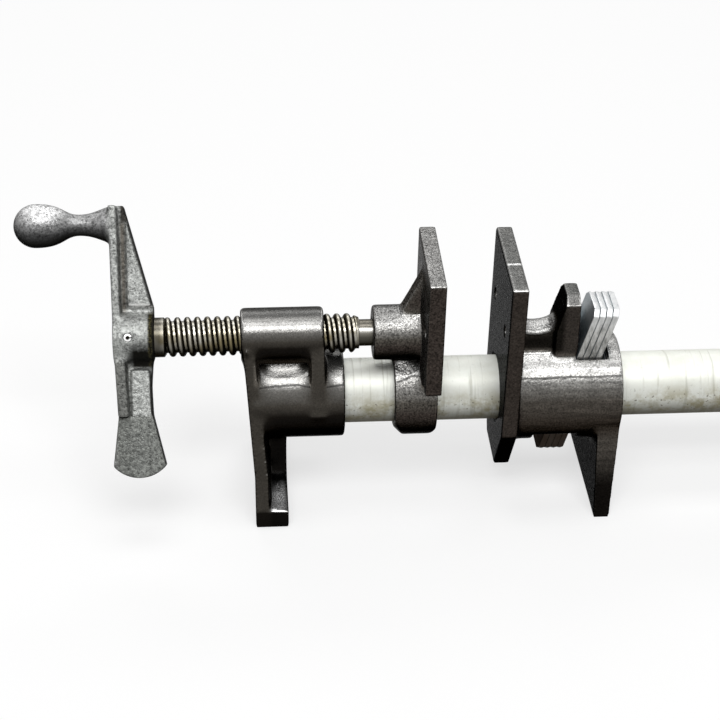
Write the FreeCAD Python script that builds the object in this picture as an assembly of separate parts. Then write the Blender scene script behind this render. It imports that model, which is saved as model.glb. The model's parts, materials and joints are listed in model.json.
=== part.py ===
import FreeCAD, Part
import math
import os

# Woodworking pipe clamp for 3/4 in pipe, in millimetres.
# X runs along the pipe towards the sliding tail, Z is up from the bench and
# the origin is on the bench, under the pipe axis, at the middle of the head's foot.

VEC = FreeCAD.Vector
ORIGIN = VEC(0, 0, 0)
ALONG = VEC(1, 0, 0)
ACROSS = VEC(0, 1, 0)
UP = VEC(0, 0, 1)

# Pipe and the two axes
pipe_od = 26.67
pipe_wall = 2.87
pipe_length = 304.8
pipe_axis_z = 47.4
screw_rise = 28.6
pipe_thread_pitch = 1.814
pipe_thread_length = 20.0
pipe_thread_depth = 1.0
pipe_thread_relief = 0.1

# Clearances
casting_clearance = 0.45
running_clearance = 0.05
thread_clearance = 0.25
pipe_thread_clearance = 0.12
pin_clearance = 0.02
cut_overrun = 2.0

# Clamp screw
screw_od = 16.0
screw_pitch = 4.0
screw_thread_depth = 1.6
screw_crest_width = 1.4
screw_root_width = 0.8
screw_end_bevel = 1.6
screw_shank_diameter = 12.0
screw_neck_diameter = 10.8
screw_neck_length = 5.3
screw_shank_gap = 0.3
screw_groove_diameter = 7.8
screw_groove_gap = 0.2
thread_hub_gap = 0.1

# Head casting
foot_length = 13.5
foot_width = 60.0
foot_height = 8.3
foot_scoop_radius = 6.0
flange_bottom_thickness = 5.5
flange_top_thickness = 4.4
flange_lean = 3.7
flange_lean_z = 21.4
head_boss_diameter = 22.2
head_boss_length = 33.5
head_boss_overhang = 0.8
head_boss_round = 1.6
collar_diameter = 37.4
collar_reach = 30.4
collar_round = 1.0
collar_mouth_depth = 4.4
head_web_thickness = 8.0
head_rib_thickness = 5.4
head_rib_margin = 0.7
pipe_end_x = 6.0
thread_run_in = 3.0

# Front jaw
front_boss_x = 41.9
front_boss_diameter = 22.4
front_boss_round = 1.2
front_plate_x = 61.8
front_plate_thickness = 6.8
front_plate_width = 46.0
front_plate_bottom_rise = 12.2
front_plate_top_rise = 64.3
front_ring_x = 50.6
front_ring_length = 17.3
front_ring_diameter = 37.6
front_ring_left_bevel = 4.6
front_ring_right_bevel = 3.0
front_ring_bevel_rise = 6.0
front_rib_thickness = 7.0
front_rib_root = 8.6
front_rib_crest_rise = 29.0
front_journal_length = 17.8
pad_hole_diameter = 4.2
pad_hole_spacing = 28.0
pad_hole_rise = 37.0
plate_edge_round = 0.5

# Pin in the front jaw
jaw_pin_diameter = 3.0
jaw_pin_x = 51.7
jaw_pin_blind_depth = 6.5

# Tail casting
rear_plate_x = 93.6
rear_plate_thickness = 6.5
rear_plate_width = 50.0
rear_plate_top_rise = 63.0
rear_plate_corner = 1.6
shield_kink_drop = 7.9
shield_bottom_drop = 31.8
shield_bottom_width = 23.0
barrel_end_reach = 18.4
barrel_end_wall = 2.8
barrel_front_wall = 3.0
barrel_wall = 3.1
saddle_thickness = 12.0
saddle_end_rise = 34.1
saddle_low_rise = 31.3
saddle_low_reach = 15.4
saddle_round = 4.0
lug_face_reach = 31.4
lug_top_thickness = 5.4
lug_base_thickness = 9.4
lug_top_rise = 46.8
lug_top_width = 15.6
lug_base_width = 18.0
lug_corner_width = 5.0
lug_corner_drop = 2.8
tail_foot_inset = 9.0
tail_foot_thickness = 6.5
tail_foot_waist_rise = -12.4
tail_foot_waist_width = 41.0

# Clutch plates
plate_count = 4
plate_thickness = 2.5
plate_gap = 0.05
plate_lean = 14.5
plate_rim = 4.565
plate_disc_gap = 1.0
plate_tongue_width = 18.0
plate_heel_width = 16.0
plate_top_reach = 43.0
plate_heel_reach = 29.9
plate_corner = 2.6
plate_bite_clearance = 0.1
plate_lug_gap = 0.3
plate_slot_side_gap = 0.8
plate_slot_end_gap = 2.2
plate_pivot_drop = 0.8
heel_window_lead = 17.0
heel_window_side_gap = 0.5
heel_window_length = 18.5

# Clutch spring
spring_wire = 1.2
spring_coils = 2.25
spring_end_gap = 0.15
spring_arcs_per_coil = 4

# Crank, laid out with its arm straight up before it is leaned back
crank_lean = 35.0
hub_left_x = -61.8
hub_right_x = -45.5
hub_diameter = 20.4
hub_bevel = 2.2
hub_wall = 2.5
arm_top = 52.9
arm_flange_top_x = -62.6
arm_flange_width = 3.2
neck_flange_width = 4.2
arm_flange_depth = 14.0
arm_web_depth = 6.0
arm_panel_depth = 9.0
arm_groove = 3.1
arm_slant_top_x = -56.6
arm_slant_bottom_rise = 11.9
panel_bottom_rise = 12.7
panel_edge_margin = 0.8
tail_waist_drop = 31.5
tail_waist_left_x = -60.4
tail_waist_right_x = -46.6
tail_neck_drop = 19.8
tail_neck_right_x = -47.0
tail_end_drop = 51.2
tail_end_left_x = -62.9
tail_end_right_x = -41.9
tail_tip_drop = 56.0
tail_depth = 9.0
lower_panel_top_drop = 12.9
lower_panel_left_x = -55.0
handle_rise = 45.6
handle_root_radius = 6.9
handle_root_reach = 1.2
handle_flare_radius = 4.8
handle_flare_reach = 6.0
handle_neck_radius = 4.35
handle_neck_reach = 6.1
handle_ball_radius = 8.8
handle_ball_reach = 15.8
crank_edge_round = 0.8
crank_pin_diameter = 3.0
crank_pin_bore = 1.6
crank_pin_slit = 0.5
crank_pin_x = -55.7

# Worked out from the sizes above
pipe_radius = pipe_od / 2
bore_radius = pipe_radius + casting_clearance
screw_axis_z = pipe_axis_z + screw_rise
screw_radius = screw_od / 2
screw_root_radius = screw_radius - screw_thread_depth
foot_left_x = -foot_length / 2
boss_left_x = foot_left_x - flange_lean - head_boss_overhang
boss_right_x = boss_left_x + head_boss_length
collar_radius = collar_diameter / 2
thread_left_x = hub_right_x + thread_hub_gap
thread_right_x = front_boss_x - screw_neck_length
journal_end_x = front_boss_x + front_journal_length
disc_radius = pipe_radius + plate_rim
cavity_radius = disc_radius + plate_disc_gap
barrel_radius = cavity_radius + barrel_wall
barrel_start_x = rear_plate_x + rear_plate_thickness
saddle_low_x = rear_plate_x + saddle_low_reach
lug_face_x = rear_plate_x + lug_face_reach
barrel_end_x = lug_face_x + barrel_end_reach
tail_foot_x = barrel_end_x - tail_foot_inset
heel_window_x = lug_face_x - heel_window_lead
pivot_x = lug_face_x + plate_lug_gap
pivot_rise = barrel_radius - plate_pivot_drop
pivot_z = pipe_axis_z + pivot_rise
lean = math.radians(plate_lean)
plate_step = (plate_thickness + plate_gap) / math.cos(lean)
handle_root_x = arm_flange_top_x - handle_root_reach
handle_flare_x = handle_root_x - handle_flare_reach
handle_neck_x = handle_flare_x - handle_neck_reach
handle_ball_x = handle_neck_x - handle_ball_reach


# Small shape helpers

def rod(start, end, radius, z, y=0):
    """Cylinder along X between two X places."""
    return Part.makeCylinder(radius, end - start, VEC(start, y, z), ALONG)


def box(low, high):
    """Box between two corners."""
    return Part.makeBox(high.x - low.x, high.y - low.y, high.z - low.z, low)


def slab_x(outline, start, end):
    """Polygon of (y, z) points, pulled from one X place to another."""
    points = [VEC(start, y, z) for y, z in outline]
    return Part.Face(Part.makePolygon(points + points[:1])).extrude(ALONG * (end - start))


def slab_y(outline, half_depth):
    """Polygon of (x, z) points, pulled the same depth to both sides of Y zero."""
    points = [VEC(x, -half_depth, z) for x, z in outline]
    return Part.Face(Part.makePolygon(points + points[:1])).extrude(ACROSS * half_depth * 2)


def turned(points, z):
    """Solid of revolution about the X line at height z, from (x, radius) points."""
    corners = [VEC(x, 0, z + radius) for x, radius in points]
    face = Part.Face(Part.makePolygon(corners + corners[:1]))
    return face.revolve(VEC(0, 0, z), ALONG, math.degrees(math.tau))


def joined(shapes):
    """One solid from shapes that overlap."""
    return shapes[0].multiFuse(shapes[1:]).removeSplitter()


def rounded(shape, radius, chosen):
    """Fillet on every edge that the test picks."""
    return shape.makeFillet(radius, [edge for edge in shape.Edges if chosen(edge)])


def on_end_circle(x, radius):
    """Test for the full circles of one radius at one X place."""
    def chosen(edge):
        circle = edge.Curve
        return isinstance(circle, Part.Circle) and math.isclose(circle.Radius, radius) \
            and math.isclose(circle.Center.x, x, abs_tol=pin_clearance)
    return chosen


# Threads

def helix_turn(x, radius, pitch):
    """One right-handed turn about X, started straight below the axis."""
    turn = Part.makeHelix(pitch, pitch, radius)
    turn.rotate(ORIGIN, ACROSS, math.degrees(math.pi / 2))
    turn.translate(ALONG * x)
    return turn.Edges[0]


def thread_cap(x, pitch, profile):
    """Closing faces at one end: a fan to the axis, and the step of one pitch."""
    axis = Part.makeLine(ALONG * x, ALONG * (x + pitch))
    turn = helix_turn(x, profile[0][1], pitch)
    start = turn.valueAt(turn.FirstParameter)
    outward = VEC(0, start.y, start.z).normalize()
    step = [ALONG * (x + place) + outward * radius for place, radius in profile]
    step = [ALONG * x] + step + [ALONG * (x + pitch), ALONG * x]
    return [Part.makeRuledSurface(turn, axis), Part.Face(Part.makePolygon(step))]


def threaded_rod(start, end, crest_radius, root_radius, crest_width, root_width, pitch, z):
    """Rod with a trapezoid thread in step with X zero, so that mates mesh."""
    flank = (pitch - crest_width - root_width) / 2
    profile = [(0, root_radius), (root_width / 2, root_radius),
               (root_width / 2 + flank, crest_radius),
               (pitch - root_width / 2 - flank, crest_radius),
               (pitch - root_width / 2, root_radius), (pitch, root_radius)]
    first = math.floor(start / pitch) - 2
    last = math.ceil(end / pitch) + 1
    faces = []
    for number in range(first, last):
        turns = [helix_turn(number * pitch + place, radius, pitch) for place, radius in profile]
        faces += [Part.makeRuledSurface(low, high) for low, high in zip(turns, turns[1:])]
    for number in (first, last):
        faces += thread_cap(number * pitch, pitch, profile)
    shell = Part.makeShell(faces)
    shell.sewShape()
    thread = Part.Solid(shell)
    thread.translate(UP * z)
    return thread.common(rod(start, end, crest_radius + cut_overrun, z))


def pipe_thread(start, end, growth):
    """Thread of the pipe's ends, or its cutter when growth is over zero."""
    crest = pipe_radius - pipe_thread_relief
    flat = pipe_thread_pitch / 6
    return threaded_rod(start, end, crest + growth, crest - pipe_thread_depth + growth,
                        flat + growth, flat - growth, pipe_thread_pitch, pipe_axis_z)


def screw_thread(start, end, growth):
    """Thread of the clamp screw, or its cutter when growth is over zero."""
    return threaded_rod(start, end, screw_radius + growth, screw_root_radius + growth,
                        screw_crest_width + growth * 2, screw_root_width - growth * 2,
                        screw_pitch, screw_axis_z)


# Pieces

def make_pipe():
    """Pipe with a thread at each end."""
    far_end = pipe_end_x + pipe_length
    left = pipe_end_x + pipe_thread_length
    right = far_end - pipe_thread_length
    body = rod(left, right, pipe_radius, pipe_axis_z)
    ends = [pipe_thread(pipe_end_x, left, 0), pipe_thread(right, far_end, 0)]
    bore = rod(pipe_end_x - cut_overrun, far_end + cut_overrun, pipe_radius - pipe_wall, pipe_axis_z)
    return body.multiFuse(ends).cut(bore)


def head_flange():
    """Upright plate that widens from the boss down to the foot."""
    top = screw_axis_z
    side = slab_y([(foot_left_x, 0), (foot_left_x + flange_bottom_thickness, 0),
                   (foot_left_x + flange_bottom_thickness, flange_lean_z),
                   (foot_left_x - flange_lean + flange_top_thickness, top),
                   (foot_left_x - flange_lean, top), (foot_left_x, flange_lean_z)], foot_width / 2)
    half = head_boss_diameter / 2
    front = slab_x([(-foot_width / 2, 0), (foot_width / 2, 0), (foot_width / 2, foot_height),
                    (half, top), (-half, top), (-foot_width / 2, foot_height)],
                   boss_left_x, foot_left_x + foot_length)
    return side.common(front)


def foot_scoop():
    """Hollow sweep between the leg's web and the floor of the foot."""
    reach = head_web_thickness / 2 + foot_scoop_radius
    top = foot_height + foot_scoop_radius
    fill = box(VEC(foot_left_x, -reach, 0), VEC(-foot_left_x, reach, top))
    for y in (-reach, reach):
        fill = fill.cut(rod(foot_left_x - cut_overrun, cut_overrun - foot_left_x, foot_scoop_radius, top, y))
    return fill


def head_rib():
    """Plate at the tail side that ties the boss to the collar."""
    low = collar_radius + head_rib_margin
    half = head_boss_diameter / 2
    outline = [(-low, pipe_axis_z), (low, pipe_axis_z), (half, screw_axis_z), (-half, screw_axis_z)]
    return slab_x(outline, boss_right_x - head_rib_thickness, boss_right_x)


def make_head_casting():
    """Boss for the screw, collar for the pipe, flange, leg web and foot."""
    half_web = head_web_thickness / 2
    boss = rod(boss_left_x, boss_right_x, head_boss_diameter / 2, screw_axis_z)
    boss = boss.makeFillet(head_boss_round, boss.Edges)
    collar = rod(foot_left_x, collar_reach, collar_radius, pipe_axis_z)
    collar = rounded(collar, collar_round, on_end_circle(collar_reach, collar_radius))
    foot = box(VEC(foot_left_x, -foot_width / 2, 0),
               VEC(foot_left_x + foot_length, foot_width / 2, foot_height))
    leg = box(VEC(foot_left_x, -half_web, 0), VEC(-foot_left_x, half_web, pipe_axis_z))
    web = box(VEC(foot_left_x, -half_web, pipe_axis_z),
              VEC(boss_right_x - head_rib_thickness / 2, half_web, screw_axis_z))
    casting = joined([collar, boss, head_flange(), head_rib(), foot, leg, web, foot_scoop()])
    inner = pipe_radius - pipe_thread_relief - pipe_thread_depth
    casting = casting.cut(screw_thread(boss_left_x - cut_overrun, boss_right_x + cut_overrun,
                                       thread_clearance))
    casting = casting.cut(rod(boss_left_x - cut_overrun, pipe_end_x, inner, pipe_axis_z))
    mouth = collar_reach - collar_mouth_depth
    casting = casting.cut(pipe_thread(pipe_end_x - thread_run_in, mouth, pipe_thread_clearance))
    return casting.cut(rod(mouth, collar_reach + cut_overrun, pipe_radius + pipe_thread_clearance,
                           pipe_axis_z))


def make_screw():
    """Thread, shank for the crank, and grooved journal for the front jaw."""
    thread = screw_thread(thread_left_x, thread_right_x, 0)
    blank = turned([(thread_left_x, 0), (thread_left_x, screw_od),
                    (thread_right_x - screw_end_bevel - screw_radius, screw_od),
                    (thread_right_x, screw_root_radius), (thread_right_x, 0)], screw_axis_z)
    shank = rod(hub_left_x + hub_wall + screw_shank_gap, thread_left_x, screw_shank_diameter / 2,
                screw_axis_z)
    neck = screw_neck_diameter / 2
    groove = jaw_pin_diameter / 2 + screw_groove_gap
    journal = turned([(thread_right_x, 0), (thread_right_x, neck), (jaw_pin_x - groove, neck),
                      (jaw_pin_x - groove, screw_groove_diameter / 2),
                      (jaw_pin_x + groove, screw_groove_diameter / 2), (jaw_pin_x + groove, neck),
                      (journal_end_x, neck), (journal_end_x, 0)], screw_axis_z)
    screw = thread.common(blank).multiFuse([shank, journal])
    return screw.cut(leaned_back(crank_pin_blank(crank_pin_diameter / 2 + pin_clearance)))


def jaw_pin_blank(radius, start):
    """Round bar across the front jaw, over the groove of the screw."""
    z = screw_axis_z + screw_groove_diameter / 2 + jaw_pin_diameter / 2 + running_clearance
    length = front_boss_diameter / 2 + cut_overrun - start
    return Part.makeCylinder(radius, length, VEC(jaw_pin_x, start, z), ACROSS)


def make_jaw_pin():
    """Pin driven in from the far side, its end just under the boss's skin."""
    blank = jaw_pin_blank(jaw_pin_diameter / 2, -jaw_pin_blind_depth + running_clearance)
    return blank.common(rod(front_boss_x, front_plate_x, front_boss_diameter / 2 - plate_edge_round,
                            screw_axis_z))


def pad_holes(plate_x, thickness):
    """Two holes through a jaw plate for screws that hold a wooden pad."""
    z = pipe_axis_z + pad_hole_rise
    return [rod(plate_x - cut_overrun, plate_x + thickness + cut_overrun, pad_hole_diameter / 2, z, y)
            for y in (-pad_hole_spacing / 2, pad_hole_spacing / 2)]


def front_ring():
    """Ring round the pipe; its end bevels are full below and fade out at the sides."""
    radius = front_ring_diameter / 2
    end = front_ring_x + front_ring_length
    ring = rod(front_ring_x, end, radius, pipe_axis_z)
    left = radius + front_ring_bevel_rise - front_ring_left_bevel
    right = radius + front_ring_bevel_rise - front_ring_right_bevel
    middle = (front_ring_x + end + right - left) / 2
    cones = turned([(front_ring_x, 0), (front_ring_x, left), (middle, left + middle - front_ring_x),
                    (end, right), (end, 0)], pipe_axis_z + front_ring_bevel_rise)
    return ring.common(cones)


def make_front_jaw():
    """Plate, boss on the screw's end, rib and the ring round the pipe."""
    boss = rod(front_boss_x, front_plate_x + front_plate_thickness / 2, front_boss_diameter / 2,
               screw_axis_z)
    boss = rounded(boss, front_boss_round, on_end_circle(front_boss_x, front_boss_diameter / 2))
    plate = box(VEC(front_plate_x, -front_plate_width / 2, pipe_axis_z + front_plate_bottom_rise),
                VEC(front_plate_x + front_plate_thickness, front_plate_width / 2,
                    pipe_axis_z + front_plate_top_rise))
    plate = plate.makeFillet(plate_edge_round, plate.Edges)
    rib = slab_y([(front_plate_x - front_rib_root, screw_axis_z),
                  (front_plate_x + front_plate_thickness / 2, screw_axis_z),
                  (front_plate_x + front_plate_thickness / 2, screw_axis_z + front_rib_crest_rise),
                  (front_plate_x, screw_axis_z + front_rib_crest_rise),
                  (front_plate_x - front_rib_root, screw_axis_z + front_boss_diameter / 2)],
                 front_rib_thickness / 2)
    casting = joined([plate, boss, front_ring(), rib])
    journal_bore = rod(front_boss_x - cut_overrun, journal_end_x + running_clearance,
                       screw_neck_diameter / 2 + running_clearance, screw_axis_z)
    pipe_bore = rod(front_ring_x - cut_overrun, front_plate_x + front_plate_thickness + cut_overrun,
                    bore_radius, pipe_axis_z)
    pin_hole = jaw_pin_blank(jaw_pin_diameter / 2 + pin_clearance, -jaw_pin_blind_depth)
    cuts = [journal_bore, pipe_bore, pin_hole] + pad_holes(front_plate_x, front_plate_thickness)
    return casting.cut(Part.makeCompound(cuts))


def rear_plate():
    """Jaw plate of the tail, drawn in to a narrow shield below the pipe."""
    half = rear_plate_width / 2
    top = pipe_axis_z + rear_plate_top_rise
    kink = pipe_axis_z - shield_kink_drop
    bottom = pipe_axis_z - shield_bottom_drop
    outline = [(-half, top), (-half, kink), (-shield_bottom_width / 2, bottom),
               (shield_bottom_width / 2, bottom), (half, kink), (half, top - rear_plate_corner),
               (half - rear_plate_corner, top)]
    plate = slab_x(outline, rear_plate_x, barrel_start_x)
    return plate.makeFillet(plate_edge_round, plate.Edges)


def saddle():
    """Web from the jaw plate to the lug, with a hollow rounded top."""
    low = VEC(saddle_low_x, -saddle_thickness / 2, pipe_axis_z + saddle_low_rise)
    left = VEC(barrel_start_x - plate_edge_round, low.y, pipe_axis_z + saddle_end_rise)
    right = VEC(lug_face_x - lug_base_thickness + plate_edge_round, low.y, left.z)
    base_left = VEC(left.x, low.y, pipe_axis_z + cavity_radius)
    base_right = VEC(right.x, low.y, base_left.z)
    wire = Part.Wire([Part.Arc(left, low, right).toShape(), Part.makeLine(right, base_right),
                      Part.makeLine(base_right, base_left), Part.makeLine(base_left, left)])
    web = Part.Face(wire).extrude(ACROSS * saddle_thickness)
    return rounded(web, saddle_round, lambda edge: isinstance(edge.Curve, Part.Circle))


def lug():
    """Upright finger lug whose far face the clutch plates bear on."""
    top = pipe_axis_z + lug_top_rise
    base = pipe_axis_z + cavity_radius
    side = slab_y([(lug_face_x, base), (lug_face_x, top), (lug_face_x - lug_top_thickness, top),
                   (lug_face_x - lug_base_thickness, pipe_axis_z + saddle_low_rise),
                   (lug_face_x - lug_base_thickness, base)], lug_base_width / 2)
    half = lug_top_width / 2
    front = slab_x([(-lug_base_width / 2, base), (lug_base_width / 2, base),
                    (half, top - lug_corner_drop), (half - lug_corner_width / 2, top),
                    (lug_corner_width - half, top), (-half, top - lug_corner_drop)],
                   lug_face_x - lug_base_thickness, lug_face_x)
    return side.common(front)


def tail_foot():
    """Upright foot plate under the far end of the barrel."""
    right = tail_foot_x + tail_foot_thickness
    waist = pipe_axis_z + tail_foot_waist_rise
    side = slab_y([(tail_foot_x, 0), (right, 0), (barrel_end_x, waist), (barrel_end_x, pipe_axis_z),
                   (tail_foot_x, pipe_axis_z)], foot_width / 2)
    half = tail_foot_waist_width / 2
    front = slab_x([(-foot_width / 2, 0), (foot_width / 2, 0), (half, waist), (half, pipe_axis_z),
                    (-half, pipe_axis_z), (-half, waist)], tail_foot_x, barrel_end_x)
    return side.common(front)


def tail_cuts():
    """Pipe bore, clutch chamber, tongue slot on top and heel window below."""
    bore = rod(rear_plate_x - cut_overrun, barrel_end_x + cut_overrun, bore_radius, pipe_axis_z)
    chamber = rod(barrel_start_x + barrel_front_wall, barrel_end_x - barrel_end_wall, cavity_radius,
                  pipe_axis_z)
    stack = plate_step * (plate_count - 1) + plate_thickness / math.cos(lean)
    slot_end = pivot_x + stack + plate_slot_end_gap
    slot_top = pipe_axis_z + barrel_radius + cut_overrun
    slot = slab_y([(lug_face_x - pivot_rise * math.tan(lean), pipe_axis_z), (lug_face_x, pivot_z),
                   (lug_face_x, slot_top), (slot_end, slot_top), (slot_end, pipe_axis_z)],
                  plate_tongue_width / 2 + plate_slot_side_gap)
    half = disc_radius + heel_window_side_gap
    window = box(VEC(heel_window_x, -half, pipe_axis_z - barrel_radius - cut_overrun),
                 VEC(heel_window_x + heel_window_length, half, pipe_axis_z))
    half = plate_heel_width / 2 + plate_slot_side_gap
    track = box(VEC(heel_window_x, -half, pipe_axis_z - barrel_radius - cut_overrun),
                VEC(tail_foot_x, half, pipe_axis_z))
    return [bore, chamber, slot, window, track]


def make_tail_casting():
    """Jaw plate, saddle, lug, barrel and foot in one casting."""
    barrel = rod(barrel_start_x - plate_edge_round, barrel_end_x, barrel_radius, pipe_axis_z)
    barrel = rounded(barrel, collar_round, on_end_circle(barrel_end_x, barrel_radius))
    casting = joined([barrel, rear_plate(), tail_foot(), saddle(), lug()])
    cuts = tail_cuts() + pad_holes(rear_plate_x, rear_plate_thickness)
    for cut in cuts:
        casting = casting.cut(cut)
    return casting


def plate_outline():
    """Upright clutch plate round the X axis: disc, tongue and heel, with its hole."""
    half = plate_tongue_width / 2
    heel = plate_heel_width / 2
    disc = rod(-plate_thickness / 2, plate_thickness / 2, disc_radius, 0)
    tongue = slab_x([(-half, 0), (half, 0), (half, plate_top_reach - plate_corner),
                     (half - plate_corner, plate_top_reach), (plate_corner - half, plate_top_reach),
                     (-half, plate_top_reach - plate_corner)], -plate_thickness / 2, plate_thickness / 2)
    toe = slab_x([(-heel, 0), (heel, 0), (heel, plate_corner - plate_heel_reach),
                  (heel - plate_corner, -plate_heel_reach), (plate_corner - heel, -plate_heel_reach),
                  (-heel, plate_corner - plate_heel_reach)], -plate_thickness / 2, plate_thickness / 2)
    height = (pipe_od + plate_thickness * math.sin(lean)) / math.cos(lean)
    hole = rod(-plate_thickness, plate_thickness, height / 2 + plate_bite_clearance, 0)
    return joined([disc, tongue, toe]).cut(hole)


def plate_centre(number):
    """Where the middle of a plate crosses the pipe axis."""
    face = pivot_x + number * plate_step - pivot_rise * math.tan(lean)
    return VEC(face + plate_thickness / 2 / math.cos(lean), 0, pipe_axis_z)


def make_clutch_plate(number):
    """One plate, leaned so that its hole bites the pipe."""
    plate = plate_outline()
    plate.rotate(ORIGIN, ACROSS, plate_lean)
    plate.translate(plate_centre(number))
    return plate


def spring_place(turn, coil_radius, right, left_offset):
    """Point of the spring's centre line; it runs from the end wall to the leaning plate."""
    angle = math.tau * turn
    y = coil_radius * math.sin(angle)
    rise = coil_radius * math.cos(angle)
    face = plate_centre(plate_count - 1).x + plate_thickness / 2 / math.cos(lean)
    left = face + rise * math.tan(lean) + left_offset
    return VEC(right + (left - right) * turn / spring_coils, y, pipe_axis_z + rise)


def biarc(start, start_way, end, end_way):
    """Two arcs that meet smoothly and keep both end directions."""
    chord = end - start
    both = start_way + end_way
    spread = 2 * (1 - start_way.dot(end_way))
    reach = (math.sqrt(chord.dot(both) ** 2 + spread * chord.dot(chord)) - chord.dot(both)) / spread
    first = start + start_way * reach
    second = end - end_way * reach
    middle = (first + second) / 2
    return [tangent_arc(start, first, middle), tangent_arc(middle, second, end)]


def tangent_arc(start, corner, end):
    """Arc from start to end whose end tangents meet at the corner."""
    base = (start + end) / 2
    rise = corner - base
    half_turn = math.atan2(rise.Length, (end - start).Length / 2)
    return Part.Arc(start, base + rise * (math.tan(half_turn / 2) / math.tan(half_turn)), end).toShape()


def make_clutch_spring():
    """Short coil spring between the end wall of the barrel and the last plate."""
    coil_radius = (bore_radius + cavity_radius) / 2
    right = barrel_end_x - barrel_end_wall - spring_end_gap - spring_wire / 2
    left_offset = (spring_wire / 2 + spring_end_gap) / math.cos(lean)
    count = round(spring_coils * spring_arcs_per_coil)
    step = spring_coils / count / 100

    def place(turn):
        return spring_place(turn, coil_radius, right, left_offset)

    def way(turn):
        return (place(turn + step) - place(turn - step)).normalize()

    stops = [spring_coils * number / count for number in range(count + 1)]
    arcs = []
    for low, high in zip(stops, stops[1:]):
        arcs += biarc(place(low), way(low), place(high), way(high))
    wire = Part.Wire(Part.makeCircle(spring_wire / 2, place(0), way(0)))
    gaps = [(place(turn / 100) - place(turn / 100 + 1)).Length - spring_wire
            for turn in range(int((spring_coils - 1) * 100))]
    print("least gap between the spring's coils", round(min(gaps), 2))
    return Part.Wire(arcs).makePipeShell([wire], True, False)


# Crank

def crank_plate(outline, depth):
    """Flat stretch of the crank from (x, height over the screw axis) points."""
    return slab_y([(x, screw_axis_z + rise) for x, rise in outline], depth / 2)


def crank_flange():
    """Spine of the crank, on the side away from the clamp."""
    return crank_plate([(arm_flange_top_x, arm_top), (hub_left_x, 0),
                        (tail_waist_left_x, -tail_waist_drop),
                        (tail_waist_left_x + neck_flange_width, -tail_waist_drop),
                        (hub_left_x + neck_flange_width, 0),
                        (hub_left_x + arm_flange_width, 0),
                        (arm_flange_top_x + arm_flange_width, arm_top)], arm_flange_depth)


def crank_web():
    """Thin web of the arm and of the neck under the hub."""
    upper = crank_plate([(arm_flange_top_x, arm_top), (hub_left_x, 0), (hub_right_x, 0),
                         (hub_right_x, arm_slant_bottom_rise), (arm_slant_top_x, arm_top)], arm_web_depth)
    lower = crank_plate([(hub_left_x, 0), (hub_right_x, 0), (tail_neck_right_x, -tail_neck_drop),
                         (tail_waist_right_x, -tail_waist_drop), (tail_waist_left_x, -tail_waist_drop)],
                        arm_web_depth)
    return [upper, lower]


def crank_panels():
    """Raised panels on the web above and below the hub."""
    slope = (hub_right_x - arm_slant_top_x) / (arm_slant_bottom_rise - arm_top)
    left = hub_left_x + arm_flange_width + arm_groove
    right = arm_slant_top_x + slope * (panel_bottom_rise - arm_top) - panel_edge_margin
    apex = arm_top + (left + panel_edge_margin - arm_slant_top_x) / slope
    upper = crank_plate([(left, panel_bottom_rise), (right, panel_bottom_rise), (left, apex)],
                        arm_panel_depth)
    lower = crank_plate([(lower_panel_left_x, -lower_panel_top_drop),
                         (tail_neck_right_x - panel_edge_margin, -lower_panel_top_drop),
                         (tail_waist_right_x - panel_edge_margin, -tail_waist_drop),
                         (lower_panel_left_x, -tail_waist_drop)], arm_panel_depth)
    return [upper, lower]


def crank_tail():
    """Flared tail that balances the arm, with a round end."""
    def corner(x, drop):
        return VEC(x, -tail_depth / 2, screw_axis_z - drop)
    waist_left = corner(tail_waist_left_x, tail_waist_drop)
    waist_right = corner(tail_waist_right_x, tail_waist_drop)
    end_left = corner(tail_end_left_x, tail_end_drop)
    end_right = corner(tail_end_right_x, tail_end_drop)
    tip = corner((tail_end_left_x + tail_end_right_x) / 2, tail_tip_drop)
    wire = Part.Wire([Part.makeLine(waist_left, end_left), Part.Arc(end_left, tip, end_right).toShape(),
                      Part.makeLine(end_right, waist_right), Part.makeLine(waist_right, waist_left)])
    return Part.Face(wire).extrude(ACROSS * tail_depth)


def crank_handle():
    """Round handle with a waist and a ball end, turned about its own axis."""
    z = screw_axis_z + handle_rise
    inner = hub_left_x + arm_flange_width / 2
    ball_end = handle_ball_x - handle_ball_radius
    root = VEC(handle_root_x, 0, z + handle_root_radius)
    flare = VEC(handle_flare_x, 0, z + handle_flare_radius)
    line = Part.BSplineCurve()
    line.interpolate(Points=[root, flare, VEC(handle_neck_x, 0, z + handle_neck_radius),
                             VEC(handle_ball_x, 0, z + handle_ball_radius)],
                     InitialTangent=(flare - root).normalize(), FinalTangent=-ALONG)
    top = VEC(handle_ball_x, 0, z + handle_ball_radius)
    slant = handle_ball_radius * math.sqrt(2) / 2
    end = VEC(ball_end, 0, z)
    ball = Part.Arc(top, VEC(handle_ball_x - slant, 0, z + slant), end).toShape()
    middle = VEC(inner, 0, z)
    corner = VEC(inner, 0, z + handle_root_radius)
    wire = Part.Wire([line.toShape(), ball, Part.makeLine(end, middle), Part.makeLine(middle, corner),
                      Part.makeLine(corner, root)])
    return Part.Face(wire).revolve(VEC(0, 0, z), ALONG, math.degrees(math.tau))


def crank_pin_blank(radius):
    """Bar through the hub, square to the face of the crank."""
    return Part.makeCylinder(radius, hub_diameter, VEC(crank_pin_x, -hub_diameter / 2, screw_axis_z), ACROSS)


def leaned_back(shape):
    """Turn a piece of the crank about the screw axis to where the crank rests."""
    turned_shape = shape.copy()
    turned_shape.rotate(VEC(0, 0, screw_axis_z), ALONG, -crank_lean)
    return turned_shape


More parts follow.
